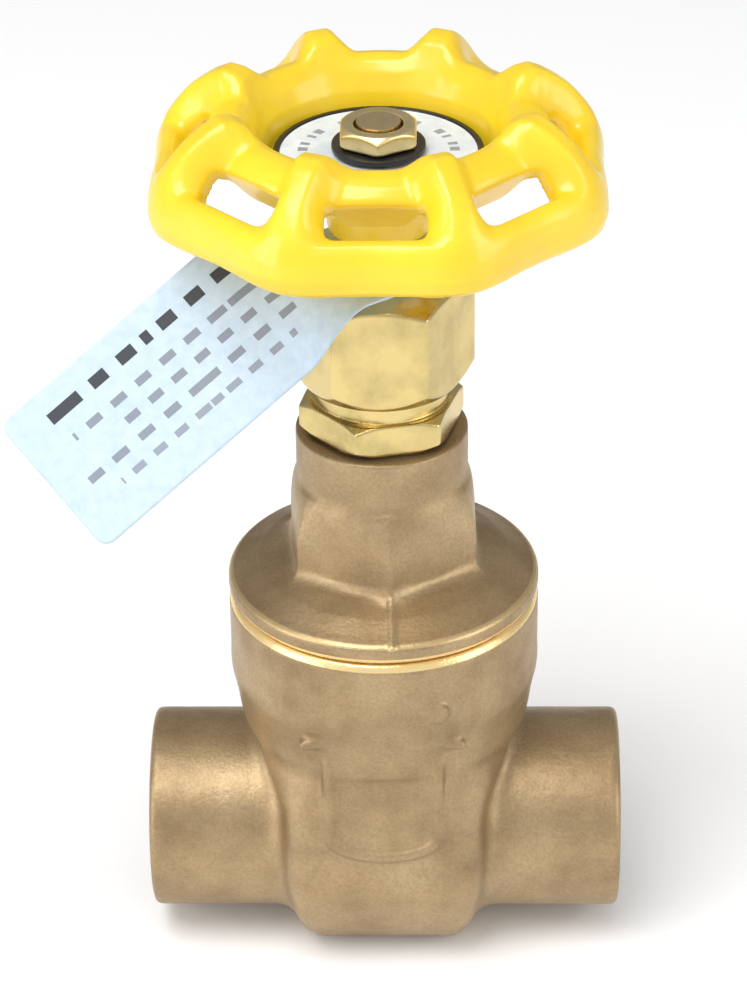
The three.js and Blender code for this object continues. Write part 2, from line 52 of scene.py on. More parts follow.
PORT_Z = 15.5  # height of the flow axis above the flat foot
HALF_LENGTH = 31.0
CUP_OUTER_R = 13.25
CUP_BORE_R = 11.15
CUP_DEPTH = 19.0
WATERWAY_R = 9.3
NECK_BORE_R = 14.6
BODY_THREAD_R = 15.6
CHEST_R = 17.5
CHEST_HALF_X = 12.8
CHEST_CORNER = 2.6  # rounding of its upright edges
FLARE_HEIGHTS = (8.0, 20.0)  # above the flow axis, where the chest starts and stops widening
FLARED_HALF_X = 18.3
FLARED_CORNER = 18.0
POCKET_R = 13.8
POCKET_HALF_X = 8.6
COLLAR_R = 20.0
JOINT_Z = PORT_Z + 35.4
BONNET_THREAD_R = 15.3
BONNET_HEX_FLATS = 22.9
BONNET_HEX_TURN = math.radians(5.4)
BONNET_NECK_R = 10.9
BONNET_TOP_Z = PORT_Z + 59.3
STUFFING_HEX_FLATS = 18.5
STUFFING_TURN = math.radians(-16.6)
STUFFING_HEX_TOP_Z = PORT_Z + 63.8
STUFFING_NECK_R = 8.6
STUFFING_TOP_Z = PORT_Z + 74.0
PACKING_NUT_FLATS = 20.4
PACKING_NUT_FOOT_Z = PORT_Z + 66.2
PACKING_NUT_SHOULDER_Z = PORT_Z + 79.6
PACKING_NUT_TOP_Z = PORT_Z + 82.4
STEM_R = 3.95
HUB_FOOT_Z = PORT_Z + 86.4
DISH_Z = PORT_Z + 96.2
SQUARE_SOCKET_HALF = 3.4
STEM_STUD_R = 2.7
KNUCKLES = 8  # raised ribs from the dish to the rim, with a window between each two
KNUCKLE_TOP_HALF = 1.0  # half the width over which a knuckle keeps its full height
KNUCKLE_FOOT_HALF = 4.3  # half the width of its foot
RIM_SIDE_R = 27.2
RIM_CORNER_R = 29.1
DISH_R = 13.2
WINDOW_R = 23.1  # middle of a window at its height below
WINDOW_Z = PORT_Z + 99.0
WINDOW_WIDTH = 11.9
WINDOW_HEIGHT = 4.6
WINDOW_SLANT = math.pi / 5  # a window leans inwards on its way down
WINDOW_CORNER = 1.5
PLATE_R = 12.8
WHEEL_NUT_FLATS = 9.2
WHEEL_NUT_HEIGHT = 2.3
PLATE_THICKNESS = 0.6
WASHER_R = 5.7
WASHER_THICKNESS = 0.7
TAG_WIDTH = 19.6
TAG_THICKNESS = 0.3
TAG_LENGTH = 60.0
TAG_BEHIND = 9.0  # how far the tag reaches past the stem's axis
TAG_HOLE_R = 4.8
TAG_CORNER = 1.6
TAG_STEP = 0.4  # spacing of the points of the tag's mesh
TAG_BEND = (8.5, 20.0)  # how far past the stem's axis the tag starts and stops bending down
GAP = 0.3

# ---------- colours, as linear red, green and blue ----------

BRONZE_DARK = (0.28, 0.19, 0.098)
BRONZE_MIDDLE = (0.385, 0.272, 0.146)
BRONZE_LIGHT = (0.47, 0.345, 0.193)
BRONZE_PITS = (0.17, 0.115, 0.06)
# Turned bronze, bright enough that it also paints in the highlight lines along the turned edges.
BRONZE_CUT_HIGHLIGHT = (0.86, 0.64, 0.30)
BRASS_COLOUR = (0.70, 0.55, 0.235)
NUT_COLOUR = (0.90, 0.73, 0.38)
STEM_COLOUR = (0.78, 0.60, 0.32)
YELLOW_DEEP = (0.76, 0.51, 0.010)
YELLOW_LIGHT = (0.84, 0.60, 0.018)
PLATE_SHADE = (0.60, 0.68, 0.76)
PLATE_LIGHT = (0.80, 0.86, 0.91)
PLATE_MARKS = (0.26, 0.31, 0.38)
PLATE_EDGE = (0.01, 0.01, 0.01)
PAPER_SHADE = (0.44, 0.55, 0.66)
PAPER_LIGHT = (0.52, 0.63, 0.73)
PRINT_TINT = (0.85, 0.95, 1.15)  # a row's colour is its shade of grey times this
WASHER_DEEP = (0.008, 0.008, 0.008)
WASHER_LIGHT = (0.02, 0.02, 0.02)
PACKING_DEEP = (0.03, 0.03, 0.03)
PACKING_LIGHT = (0.07, 0.07, 0.065)

# ---------- marks, and machined edges with painted highlights ---

MACHINED_HIGHLIGHT_BEYOND_R = 18.5  # the turned edges at the joint lie further out than this
# Heights of the turned edges, whose bright colour is partly bare metal and partly a painted highlight line,
# and how strongly each shows: (low, high, share).
MACHINED_HIGHLIGHT_BANDS = (
    (JOINT_Z - 0.9, JOINT_Z + 1.1, 1.0),
    (PORT_Z + 37.9, PORT_Z + 38.4, 0.3),
)
PLATE_MARK_RING = (8.6, 9.8)  # the plate's dashes lie between these radii
PLATE_BLACK_BEYOND_R = 11.95
# Rows of dashes along the tag: (place across it, half depth, start, stop, pitch, shade of grey).
PRINT_ROWS = (
    (6.3, 0.75, 13, 46, 5.3, 0.05),
    (2.8, 0.5, 12, 45, 4.1, 0.26),
    (0.2, 0.5, 12, 40, 3.7, 0.26),
    (-2.4, 0.5, 14, 47, 4.6, 0.26),
    (-5.0, 0.45, 16, 44, 3.1, 0.30),
)

# ---------- floor, lights and camera ----------

FLOOR_HALF = 1.5  # metres
FLOOR_DROP = 0.00005  # metres, so that the floor and the foot don't share a plane
# (name, location, target, size, power), in metres and watts
AREA_LIGHTS = (
    ("key_above", (-0.22, -0.32, 0.85), (0, 0, 0.05), (0.55, 0.55), 5.6),
    ("fill_left", (-0.5, -0.25, 0.2), (0, 0, 0.06), (0.3, 0.4), 1.2),
    ("fill_right", (0.5, -0.2, 0.25), (0, 0, 0.06), (0.3, 0.4), 1.0),
)
# The camera's distance and target are in millimetres, like the sizes.
CAMERA_DISTANCE = 445.5
CAMERA_TARGET = (-1.17, 0, 63.37)
CAMERA_ELEVATION = math.radians(30.86)
CAMERA_AZIMUTH = math.radians(1.32)
CAMERA_ROLL = math.radians(-0.75)
CAMERA_LENS = 125.49
CAMERA_SENSOR = 36


# ---------- distance fields ----------


class Grid:
    """Sample points over a box. x, y and z broadcast against each other to the full grid."""

    def __init__(self, low, high, step):
        self.low = np.array(low, np.float32) - 2 * step
        self.step = step
        counts = np.ceil((np.array(high) + 2 * step - self.low) / step).astype(int) + 1
        axes = [self.low[i] + step * np.arange(counts[i], dtype=np.float32) for i in range(3)]
        self.x = axes[0][:, None, None]
        self.y = axes[1][None, :, None]
        self.z = axes[2][None, None, :]
        self.r = np.sqrt(self.x**2 + self.y**2)
        self.shape = tuple(counts)


def smooth_min(a, b, k):
    h = np.clip(0.5 + 0.5 * (b - a) / k, 0, 1)
    return b + (a - b) * h - k * h * (1 - h)


def smooth_max(a, b, k):
    return -smooth_min(-a, -b, k)


def blend_step(low, high, value):
    t = np.clip((value - low) / (high - low), 0, 1)
    return t * t * (3 - 2 * t)


def rounded_distance(a, b, corner):
    """Signed distance to a rectangle with rounded corners, from the distances past two of its sides.

    Each distance has the corner's radius added to it.
    """
    outside = np.sqrt(np.maximum(a, 0) ** 2 + np.maximum(b, 0) ** 2)
    return outside + np.minimum(np.maximum(a, b), 0) - corner


def polygon_distance(r, z, points):
    """Signed distance to a closed polygon of (r, z) points, negative inside."""
    best = np.full(np.broadcast(r, z).shape, 1e9, np.float32)
    inside = np.zeros(best.shape, bool)
    for (ax, ay), (bx, by) in zip(points, points[1:] + points[:1]):
        ex, ey = bx - ax, by - ay
        length_squared = ex * ex + ey * ey
        if length_squared < 1e-12:
            continue
        t = np.clip(((r - ax) * ex + (z - ay) * ey) / length_squared, 0, 1)
        best = np.minimum(best, (r - ax - t * ex) ** 2 + (z - ay - t * ey) ** 2)
        if ey != 0:
            crosses = (ay > z) != (by > z)
            inside ^= crosses & (r < ax + (z - ay) * ex / ey)
    distance = np.sqrt(best)
    return np.where(inside, -distance, distance)


def turned(grid, profile):
    """A profile of (radius, height) points turned about Z."""
    step = grid.step / 2
    radii = np.arange(0, float(grid.r.max()) + 2 * step, step, dtype=np.float32)
    heights = grid.z.ravel()
    mirrored = [(-r, z) for r, z in reversed(profile) if r > 0]
    table = polygon_distance(radii[:, None], heights[None, :], profile + mirrored)
    place = grid.r.squeeze() / step
    index = np.minimum(place.astype(int), len(radii) - 2)
    share = (place - index)[..., None]
    return table[index] * (1 - share) + table[index + 1] * share


def rod(grid, radius, low, high):
    return np.maximum(grid.r - radius, np.maximum(low - grid.z, grid.z - high))


def hexagon(grid, flats, turn=0.0):
    """Distance across an endless hexagonal prism along Z. With turn 0 a corner points along -Y."""
    field = None
    for i in range(3):
        a = turn + i * math.pi / 3
        side = np.abs(grid.x * math.cos(a) + grid.y * math.sin(a)) - flats / 2
        field = side if field is None else np.maximum(field, side)
    return field


CELL_CORNERS = [(i, j, k) for i in (0, 1) for j in (0, 1) for k in (0, 1)]


def crossed_cell_points(field, at):
    """For each cell, the mean of the points where the field crosses zero on its edges.

    at holds the cells' indices.
    """
    corners = {}
    for i, j, k in CELL_CORNERS:
        corners[i, j, k] = field[at[:, 0] + i, at[:, 1] + j, at[:, 2] + k]
    total = np.zeros((len(at), 3))
    hits = np.zeros(len(at))
    for start, value in corners.items():
        for axis in range(3):
            if start[axis]:
                continue
            end = tuple(1 if n == axis else s for n, s in enumerate(start))
            other = corners[end]
            crossed = (value < 0) != (other < 0)
            t = np.where(crossed, value / np.where(crossed, value - other, 1), 0)
            point = np.array(start, float)[None, :].repeat(len(at), 0)
            point[:, axis] = t
            total[crossed] += point[crossed]
            hits += crossed
    return at + total / hits[:, None]


def quads_across(inside, number, axis):
    """One quad for each grid edge along an axis that the surface crosses, joining its four cells' points."""
    u, v = (axis + 1) % 3, (axis + 2) % 3
    low = [slice(1, -1)] * 3
    low[axis] = slice(0, -1)
    high = list(low)
    high[axis] = slice(1, None)
    near, far = inside[tuple(low)], inside[tuple(high)]
    base = np.argwhere(near != far) + 1
    base[:, axis] -= 1
    ring = []
    for du, dv in ((1, 1), (0, 1), (0, 0), (1, 0)):
        cell = base.copy()
        cell[:, u] -= du
        cell[:, v] -= dv
        ring.append(number[cell[:, 0], cell[:, 1], cell[:, 2]])
    quad = np.stack(ring, 1)
    faces_back = ~near[near != far]
    quad[faces_back] = quad[faces_back][:, ::-1]
    return quad


def skin(field, grid):
    """Vertices and quads of the surface where the field crosses zero: one vertex in each crossed cell."""
    inside = field < 0
    cells = tuple(n - 1 for n in field.shape)
    count = np.zeros(cells, np.uint8)
    for i, j, k in CELL_CORNERS:
        count += inside[i : i + cells[0], j : j + cells[1], k : k + cells[2]]
    active = (count > 0) & (count < 8)
    at = np.argwhere(active)
    number = np.full(cells, -1, np.int64)
    number[active] = np.arange(len(at))
    verts = crossed_cell_points(field, at) * grid.step + grid.low
    return verts, np.concatenate([quads_across(inside, number, axis) for axis in range(3)])


def mesh_object(name, verts, quads):
    """A smooth-shaded object from vertices in millimetres and quads."""
    mesh = bpy.data.meshes.new(name)
    mesh.vertices.add(len(verts))
    mesh.vertices.foreach_set("co", np.asarray(verts * MM, np.float32).ravel())
    mesh.loops.add(len(quads) * 4)
    mesh.loops.foreach_set("vertex_index", np.asarray(quads, np.int32).ravel())
    mesh.polygons.add(len(quads))
    mesh.polygons.foreach_set("loop_start", np.arange(0, len(quads) * 4, 4, dtype=np.int32))
    mesh.update(calc_edges=True)
    mesh.validate()
    mesh.polygons.foreach_set("use_smooth", np.ones(len(mesh.polygons), bool))
    obj = bpy.data.objects.new(name, mesh)
    bpy.context.scene.collection.objects.link(obj)
    return obj


def add_piece(name, field, grid, body, node, material, smooth=0):
    obj = mesh_object(name, *skin(field, grid))
    if smooth:
        relax = obj.modifiers.new("relax", "SMOOTH")
        relax.factor = 0.5
        relax.iterations = smooth
    obj.data.materials.append(material)
    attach(obj, body)
    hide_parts(node)
    return obj


# ---------- materials ----------


def new_material(name):
    material = bpy.data.materials.new(name)
    material.use_nodes = True
    tree = material.node_tree
    return material, tree, tree.nodes["Principled BSDF"]


def object_noise(tree, scale, detail=4.0, roughness=0.6, stretch=None):
    """Noise over object space, in cells per metre."""
    coords = tree.nodes.new("ShaderNodeTexCoord")
    vector = coords.outputs["Object"]
    if stretch:
        mapping = tree.nodes.new("ShaderNodeMapping")
        mapping.inputs["Scale"].default_value = stretch
        tree.links.new(vector, mapping.inputs["Vector"])
        vector = mapping.outputs["Vector"]
    noise = tree.nodes.new("ShaderNodeTexNoise")
    noise.inputs["Scale"].default_value = scale
    noise.inputs["Detail"].default_value = detail
    noise.inputs["Roughness"].default_value = roughness
    tree.links.new(vector, noise.inputs["Vector"])
    return noise.outputs["Fac"]


def ramp(tree, value, stops):
    """A colour ramp over a value. stops are (position, colour)."""
    node = tree.nodes.new("ShaderNodeValToRGB")
    elements = node.color_ramp.elements
    while len(elements) < len(stops):
        elements.new(0.5)
    for element, (position, colour) in zip(elements, stops):
        element.position = position
        element.color = (*colour, 1)
    tree.links.new(value, node.inputs["Fac"])
    return node.outputs["Color"]


def remap(tree, value, low, high, to_low, to_high):
    node = tree.nodes.new("ShaderNodeMapRange")
    for name, number in (("From Min", low), ("From Max", high), ("To Min", to_low), ("To Max", to_high)):
        node.inputs[name].default_value = number
    tree.links.new(value, node.inputs["Value"])
    return node.outputs["Result"]


def add_bump(tree, shader, heights):
    """Bumps one over another. heights are (value, strength, distance in metres)."""
    normal = None
    for value, strength, distance in heights:
        bump = tree.nodes.new("ShaderNodeBump")
        bump.inputs["Strength"].default_value = strength
        bump.inputs["Distance"].default_value = distance
        tree.links.new(value, bump.inputs["Height"])
        if normal:
            tree.links.new(normal, bump.inputs["Normal"])
        normal = bump.outputs["Normal"]
    tree.links.new(normal, shader.inputs["Normal"])


def mix_colours(tree, share, a, b):
    """Colour a where share is 0 and b where it is 1. Each is a colour or a socket."""
    node = tree.nodes.new("ShaderNodeMix")
    node.data_type = "RGBA"
    tree.links.new(share, node.inputs["Factor"])
    sockets = [s for s in node.inputs if s.type == "RGBA"]
    for socket, value in zip(sockets, (a, b)):
        if isinstance(value, tuple):
            socket.default_value = (*value, 1)
        else:
            tree.links.new(value, socket)
    return [s for s in node.outputs if s.type == "RGBA"][0]


def math_node(tree, operation, a, b=0.0):
    """A math node over two values. Each is a number or a socket."""
    node = tree.nodes.new("ShaderNodeMath")
    node.operation = operation
    for socket, value in zip(node.inputs, (a, b)):
        if isinstance(value, (int, float)):
            socket.default_value = value
        else:
            tree.links.new(value, socket)
    return node.outputs["Value"]


def between(tree, value, low, high):
    """1 where value lies between low and high, else 0."""
    above = math_node(tree, "GREATER_THAN", value, low)
    below = math_node(tree, "LESS_THAN", value, high)
    return math_node(tree, "MULTIPLY", above, below)


def separate(tree, vector):
    node = tree.nodes.new("ShaderNodeSeparateXYZ")
    tree.links.new(vector, node.inputs["Vector"])
    return node.outputs["X"], node.outputs["Y"], node.outputs["Z"]


def object_position(tree):
    return separate(tree, tree.nodes.new("ShaderNodeTexCoord").outputs["Object"])


def axis_radius(tree, x, y):
    """Distance from the Z axis, from the X and Y sockets."""
    squares = [math_node(tree, "MULTIPLY", value, value) for value in (x, y)]
    return math_node(tree, "SQRT", math_node(tree, "ADD", *squares))


def cast_bronze(name):
    """Sand-cast bronze, with a bright turned edge at each machined band, partly bare metal and partly a
    painted highlight line.
    """
    material, tree, shader = new_material(name)
    patches = object_noise(tree, 90, 5)
    base = ramp(tree, patches, [(0.3, BRONZE_DARK), (0.5, BRONZE_MIDDLE), (0.72, BRONZE_LIGHT)])
    grains = object_noise(tree, 2600, 3)
    speckle = ramp(tree, grains, [(0.36, (0.72,) * 3), (0.6, (1.0,) * 3)])
    colour = mix_colours(tree, speckle, BRONZE_PITS, base)
    roughness = remap(tree, patches, 0.3, 0.7, 0.5, 0.36)
    x, y, z = object_position(tree)
    outer = math_node(tree, "GREATER_THAN", axis_radius(tree, x, y), MACHINED_HIGHLIGHT_BEYOND_R * MM)
    # The turned bands are painted brighter: partly bare metal, partly a painted highlight line.
    for low, high, share in MACHINED_HIGHLIGHT_BANDS:
        machined_highlight = math_node(tree, "MULTIPLY", between(tree, z, low * MM, high * MM), outer)
        machined_highlight = math_node(tree, "MULTIPLY", machined_highlight, share)
        colour = mix_colours(tree, machined_highlight, colour, BRONZE_CUT_HIGHLIGHT)
        roughness = math_node(tree, "SUBTRACT", roughness, math_node(tree, "MULTIPLY", machined_highlight, 0.2))
    tree.links.new(colour, shader.inputs["Base Color"])
    tree.links.new(roughness, shader.inputs["Roughness"])
    shader.inputs["Metallic"].default_value = 0.7
    add_bump(tree, shader, [(object_noise(tree, 520, 4), 0.3, 0.00025), (grains, 0.4, 0.00008)])
    return material


def polished_brass(name, colour, roughness=0.2):
    """Turned brass, a little stained, with fine level tool marks."""
    material, tree, shader = new_material(name)
    stain = object_noise(tree, 160, 4)
    darker = tuple(0.72 * c for c in colour)
    tree.links.new(ramp(tree, stain, [(0.3, darker), (0.6, colour)]), shader.inputs["Base Color"])
    shader.inputs["Metallic"].default_value = 1.0
    lines = object_noise(tree, 260, 2, 0.5, (1, 1, 30))
    tree.links.new(remap(tree, stain, 0.3, 0.7, roughness + 0.1, roughness), shader.inputs["Roughness"])
    add_bump(tree, shader, [(lines, 0.16, 0.00006)])
    return material


def yellow_enamel(name):
    """Glossy yellow paint with a thin clear coat over slow waves."""
    material, tree, shader = new_material(name)
    wander = object_noise(tree, 90, 3)
    colours = [(0.3, YELLOW_DEEP), (0.7, YELLOW_LIGHT)]
    tree.links.new(ramp(tree, wander, colours), shader.inputs["Base Color"])
    tree.links.new(remap(tree, wander, 0.3, 0.7, 0.36, 0.26), shader.inputs["Roughness"])
    shader.inputs["Coat Weight"].default_value = 0.35
    shader.inputs["Coat Roughness"].default_value = 0.12
    add_bump(tree, shader, [(object_noise(tree, 330, 3), 0.12, 0.0002)])
    return material


def mottled(name, dark, light, roughness):
    """A plain finish with a little wander in colour, gloss and surface."""
    material, tree, shader = new_material(name)
    wander = object_noise(tree, 300, 4)
    tree.links.new(ramp(tree, wander, [(0.3, dark), (0.7, light)]), shader.inputs["Base Color"])
    gloss = remap(tree, wander, 0.3, 0.7, roughness + 0.08, roughness - 0.05)
    tree.links.new(gloss, shader.inputs["Roughness"])
    add_bump(tree, shader, [(object_noise(tree, 1500, 3), 0.2, 0.00006)])
    return material


CAST = cast_bronze("cast_bronze")
BRASS = polished_brass("machined_brass", BRASS_COLOUR)
NUT_BRASS = polished_brass("nut_brass", NUT_COLOUR, 0.28)
STEM = polished_brass("stem_bronze", STEM_COLOUR, 0.3)
YELLOW = yellow_enamel("yellow_enamel")
BLACK = mottled("black_washer", WASHER_DEEP, WASHER_LIGHT, 0.45)
PACKING = mottled("graphite_packing", PACKING_DEEP, PACKING_LIGHT, 0.8)


def printed_plate(name):
    """White enamel with a black edge and a ring of plain grey dashes."""
    material, tree, shader = new_material(name)
    x, y, _ = object_position(tree)
    radius = axis_radius(tree, x, y)
    wander = object_noise(tree, 240, 3)
    base = ramp(tree, wander, [(0.3, PLATE_SHADE), (0.7, PLATE_LIGHT)])
    turn = math_node(tree, "ARCTAN2", y, x)
    waves = math_node(tree, "SINE", math_node(tree, "MULTIPLY", turn, 31.0))
    waves = math_node(tree, "ADD", waves, math_node(tree, "SINE", math_node(tree, "MULTIPLY", turn, 13.0)))
    dash = math_node(tree, "GREATER_THAN", waves, 0.35)
    ring = between(tree, radius, PLATE_MARK_RING[0] * MM, PLATE_MARK_RING[1] * MM)
    colour = mix_colours(tree, math_node(tree, "MULTIPLY", dash, ring), base, PLATE_MARKS)
    edge = math_node(tree, "GREATER_THAN", radius, PLATE_BLACK_BEYOND_R * MM)
    tree.links.new(mix_colours(tree, edge, colour, PLATE_EDGE), shader.inputs["Base Color"])
    tree.links.new(remap(tree, wander, 0.3, 0.7, 0.36, 0.26), shader.inputs["Roughness"])
    add_bump(tree, shader, [(object_noise(tree, 900, 3), 0.15, 0.00005)])
    return material


def printed_paper(name):
    """Pale coated paper with rows of plain dashes. Its UV map holds millimetres on the flat tag."""
    material, tree, shader = new_material(name)
    along, across, _ = separate(tree, tree.nodes.new("ShaderNodeTexCoord").outputs["UV"])
    fibres = object_noise(tree, 700, 4)
    colour = ramp(tree, fibres, [(0.3, PAPER_SHADE), (0.7, PAPER_LIGHT)])
    for middle, half, start, stop, pitch, shade in PRINT_ROWS:
        row = between(tree, across, middle - half, middle + half)
        row = math_node(tree, "MULTIPLY", row, between(tree, along, start, stop))
        wave = math_node(tree, "SINE", math_node(tree, "MULTIPLY", along, 2 * math.pi / pitch))
        wander = math_node(tree, "SINE", math_node(tree, "MULTIPLY", along, 1.7))
        wave = math_node(tree, "ADD", wave, wander)
        row = math_node(tree, "MULTIPLY", row, math_node(tree, "GREATER_THAN", wave, -0.25))
        colour = mix_colours(tree, row, colour, tuple(shade * part for part in PRINT_TINT))
    tree.links.new(colour, shader.inputs["Base Color"])
    tree.links.new(remap(tree, fibres, 0.3, 0.7, 0.75, 0.6), shader.inputs["Roughness"])
    add_bump(tree, shader, [(fibres, 0.15, 0.00004)])
    return material


PLATE = printed_plate("plate_white")
PAPER = printed_paper("tag_paper")


# ---------- body ----------


def chest_field(g):
    """The outside of the U-shaped chest round the wedge, flared almost to a circle under the collar."""
    h = g.z - PORT_Z
    flare = blend_step(*FLARE_HEIGHTS, h)
    half_x = CHEST_HALF_X + (FLARED_HALF_X - CHEST_HALF_X) * flare
    half_x = half_x - 2.6 * np.clip((2.0 - h) / 17.5, 0, 1) ** 1.5
    below = np.minimum(h, 0)
    half_y = np.sqrt(np.maximum(CHEST_R**2 - below**2, 1.0)) + 0.4 * flare
    corner = CHEST_CORNER + (FLARED_CORNER - CHEST_CORNER) * flare
    corner = np.minimum(corner, np.minimum(half_x, half_y) - 0.05)
    qx = np.abs(g.x) - half_x + corner
    qy = np.abs(g.y) - half_y + corner
    return rounded_distance(qx, qy, corner)


def bead(grid, h, points, radius):
    """A round bead through (x, height) points, half sunk in the front of the chest."""
    best = None
    depth = grid.y + CHEST_R - 0.1
    for (ax, ah), (bx, bh) in zip(points, points[1:]):
        ex, eh = bx - ax, bh - ah
        t = np.clip(((grid.x - ax) * ex + (h - ah) * eh) / (ex * ex + eh * eh), 0, 1)
        away = (grid.x - ax - t * ex) ** 2 + (h - ah - t * eh) ** 2
        best = away if best is None else np.minimum(best, away)
    return np.sqrt(best + depth**2) - radius


def casting_marks(solid, grid, h):
    """A raised U on the front of the chest, a shallow arched bar above it and a small round boss."""
    sweep = [math.radians(a) for a in range(180, 361, 20)]
    outline = [(-7.0, 19.0)] + [(7.0 * math.cos(a), 7.5 + 3.2 * math.sin(a)) for a in sweep] + [(7.0, 19.0)]
    solid = smooth_min(solid, bead(grid, h, outline, 0.8), 0.5)
    arch = [(x, 22.6 - 0.006 * x * x) for x in range(-10, 11, 2)]
    solid = smooth_min(solid, bead(grid, h, arch, 0.7), 0.6)
    boss = np.sqrt((grid.x - 7.2) ** 2 + (h - 27.8) ** 2) - 1.3
    boss = np.maximum(boss, np.abs(grid.y + 18.2) - 1.1)
    return smooth_min(solid, boss, 0.6)


def make_body():
    g = Grid((-31, -20, 0), (31, 20, 51), 0.36)
    h = g.z - PORT_Z
    radial = np.sqrt(g.y**2 + h**2)
    chest = smooth_max(chest_field(g), h - 24.0, 1.0)
    chest = smooth_max(chest, -g.z, 1.4)
    pipes = smooth_max(radial - CUP_OUTER_R, np.abs(g.x) - HALF_LENGTH, 1.1)
    collar = turned(g, [
        (0, PORT_Z + 18), (18.2, PORT_Z + 18), (18.8, PORT_Z + 21), (19.8, PORT_Z + 24.2),
        (COLLAR_R, PORT_Z + 26.2), (COLLAR_R, JOINT_Z - 1.0), (COLLAR_R - 0.6, JOINT_Z), (0, JOINT_Z),
    ])
    solid = smooth_min(chest, pipes, 4.0)
    solid = smooth_min(solid, collar, 3.0)
    solid = np.maximum(solid, g.z - JOINT_Z)
    solid = casting_marks(solid, g, h)
    solid = smooth_max(solid, -g.z, 0.8)
    bore = np.maximum(radial - WATERWAY_R, np.abs(g.x) - HALF_LENGTH - 1)
    cups = np.maximum(radial - CUP_BORE_R, HALF_LENGTH - CUP_DEPTH - np.abs(g.x))
    pocket_low = np.maximum(radial - POCKET_R, np.abs(g.x) - POCKET_HALF_X)
    pocket_high = np.maximum(np.abs(g.x) - POCKET_HALF_X, np.abs(g.y) - POCKET_R)
    pocket_high = np.maximum(pocket_high, -h)
    neck = np.maximum(g.r - NECK_BORE_R, 20 - h)
    thread = np.maximum(g.r - BODY_THREAD_R, 25.2 - h)
    hollow = np.minimum(np.minimum(bore, cups), np.minimum(pocket_low, pocket_high))
    hollow = np.minimum(hollow, np.minimum(neck, thread))
    solid = smooth_max(solid, -hollow, 0.5)
    add_piece("valve_body", solid, g, "housing", "body", CAST, 1)


# ---------- bonnet ----------


def parting_line(grid, high, low):
    """The raised seam left by the mould, down the front of the flange."""
    start, end = np.array((1.2, -13.4, high + 0.5)), np.array((1.4, -19.7, low - 0.3))
    run = end - start
    t = (grid.x - start[0]) * run[0] + (grid.y - start[1]) * run[1] + (grid.z - start[2]) * run[2]
    t = np.clip(t / (run @ run), 0, 1)
    away = [axis - start[i] - t * run[i] for i, axis in enumerate((grid.x, grid.y, grid.z))]
    return np.sqrt(away[0] ** 2 + away[1] ** 2 + away[2] ** 2) - 0.45


def make_bonnet():
    g = Grid((-20, -20, JOINT_Z - 11), (20, 20, BONNET_TOP_Z), 0.26)
    flange_top = PORT_Z + 38.3
    hex_foot = PORT_Z + 40.4
    hex_top = PORT_Z + 51.2
    shell = turned(g, [
        (0, PORT_Z + 25.5), (BONNET_THREAD_R, PORT_Z + 25.5), (BONNET_THREAD_R, JOINT_Z + GAP),
        (COLLAR_R - 0.5, JOINT_Z + GAP),
        (COLLAR_R, JOINT_Z + GAP + 0.8),
        (COLLAR_R, flange_top - 0.5), (COLLAR_R - 0.4, flange_top), (18.4, flange_top + 0.5),
        (16.0, hex_foot - 0.4), (13.4, hex_foot + 0.5), (11.0, hex_foot + 1.0), (11.0, hex_top),
        (BONNET_NECK_R, hex_top), (BONNET_NECK_R, BONNET_TOP_Z), (0, BONNET_TOP_Z),
    ])
    prism = hexagon(g, BONNET_HEX_FLATS, BONNET_HEX_TURN)
    crown = turned(g, [
        (0, hex_foot - 3), (15, hex_foot - 3), (15, hex_top - 5), (11.4, hex_top + 0.6), (0, hex_top + 0.6),
    ])
    prism = smooth_max(prism, crown, 2.4)
    solid = smooth_min(shell, prism, 1.8)
    solid = smooth_min(solid, parting_line(g, hex_foot, flange_top), 0.4)
    solid = smooth_max(solid, g.z - BONNET_TOP_Z, 0.5)
    solid = np.maximum(solid, -np.maximum(g.z - JOINT_Z - GAP, BONNET_THREAD_R - g.r))
    hollow = turned(g, [
        (0, PORT_Z + 20), (13.4, PORT_Z + 20), (13.4, PORT_Z + 34), (10.6, PORT_Z + 37.6),
        (4.25, PORT_Z + 37.6), (4.25, PORT_Z + 51.3), (6.7, PORT_Z + 51.3), (6.7, PORT_Z + 54.2),
        (8.2, PORT_Z + 54.2), (8.2, PORT_Z + 62), (0, PORT_Z + 62),
    ])
    solid = np.maximum(solid, -hollow)
    add_piece("valve_bonnet", solid, g, "housing", "bonnet", CAST, 1)


# ---------- stuffing box and packing nut ----------


def make_stuffing_box():
    foot = BONNET_TOP_Z + GAP
    top = STUFFING_HEX_TOP_Z
    g = Grid((-11, -11, PORT_Z + 54), (11, 11, STUFFING_TOP_Z), 0.17)
    corner = STUFFING_HEX_FLATS / math.sqrt(3)
    rounded = turned(g, [
        (0, foot), (corner - 1.1, foot), (corner, foot + 0.8),
        (corner, top - 0.7), (corner - 1.2, top), (0, top),
    ])
    solid = smooth_max(hexagon(g, STUFFING_HEX_FLATS, STUFFING_TURN), rounded, 0.25)
    solid = np.minimum(solid, rod(g, 7.9, PORT_Z + 54.5, foot + 1))
    solid = np.minimum(solid, rod(g, STUFFING_NECK_R, foot + 1, STUFFING_TOP_Z))
    solid = np.maximum(solid, -rod(g, 6.6, PORT_Z + 57.5, STUFFING_TOP_Z + 1))
    solid = np.maximum(solid, -rod(g, STEM_R + GAP, PORT_Z + 50, STUFFING_TOP_Z + 1))
    add_piece("valve_stuffing_box", solid, g, "housing", "stuffing_box", BRASS)


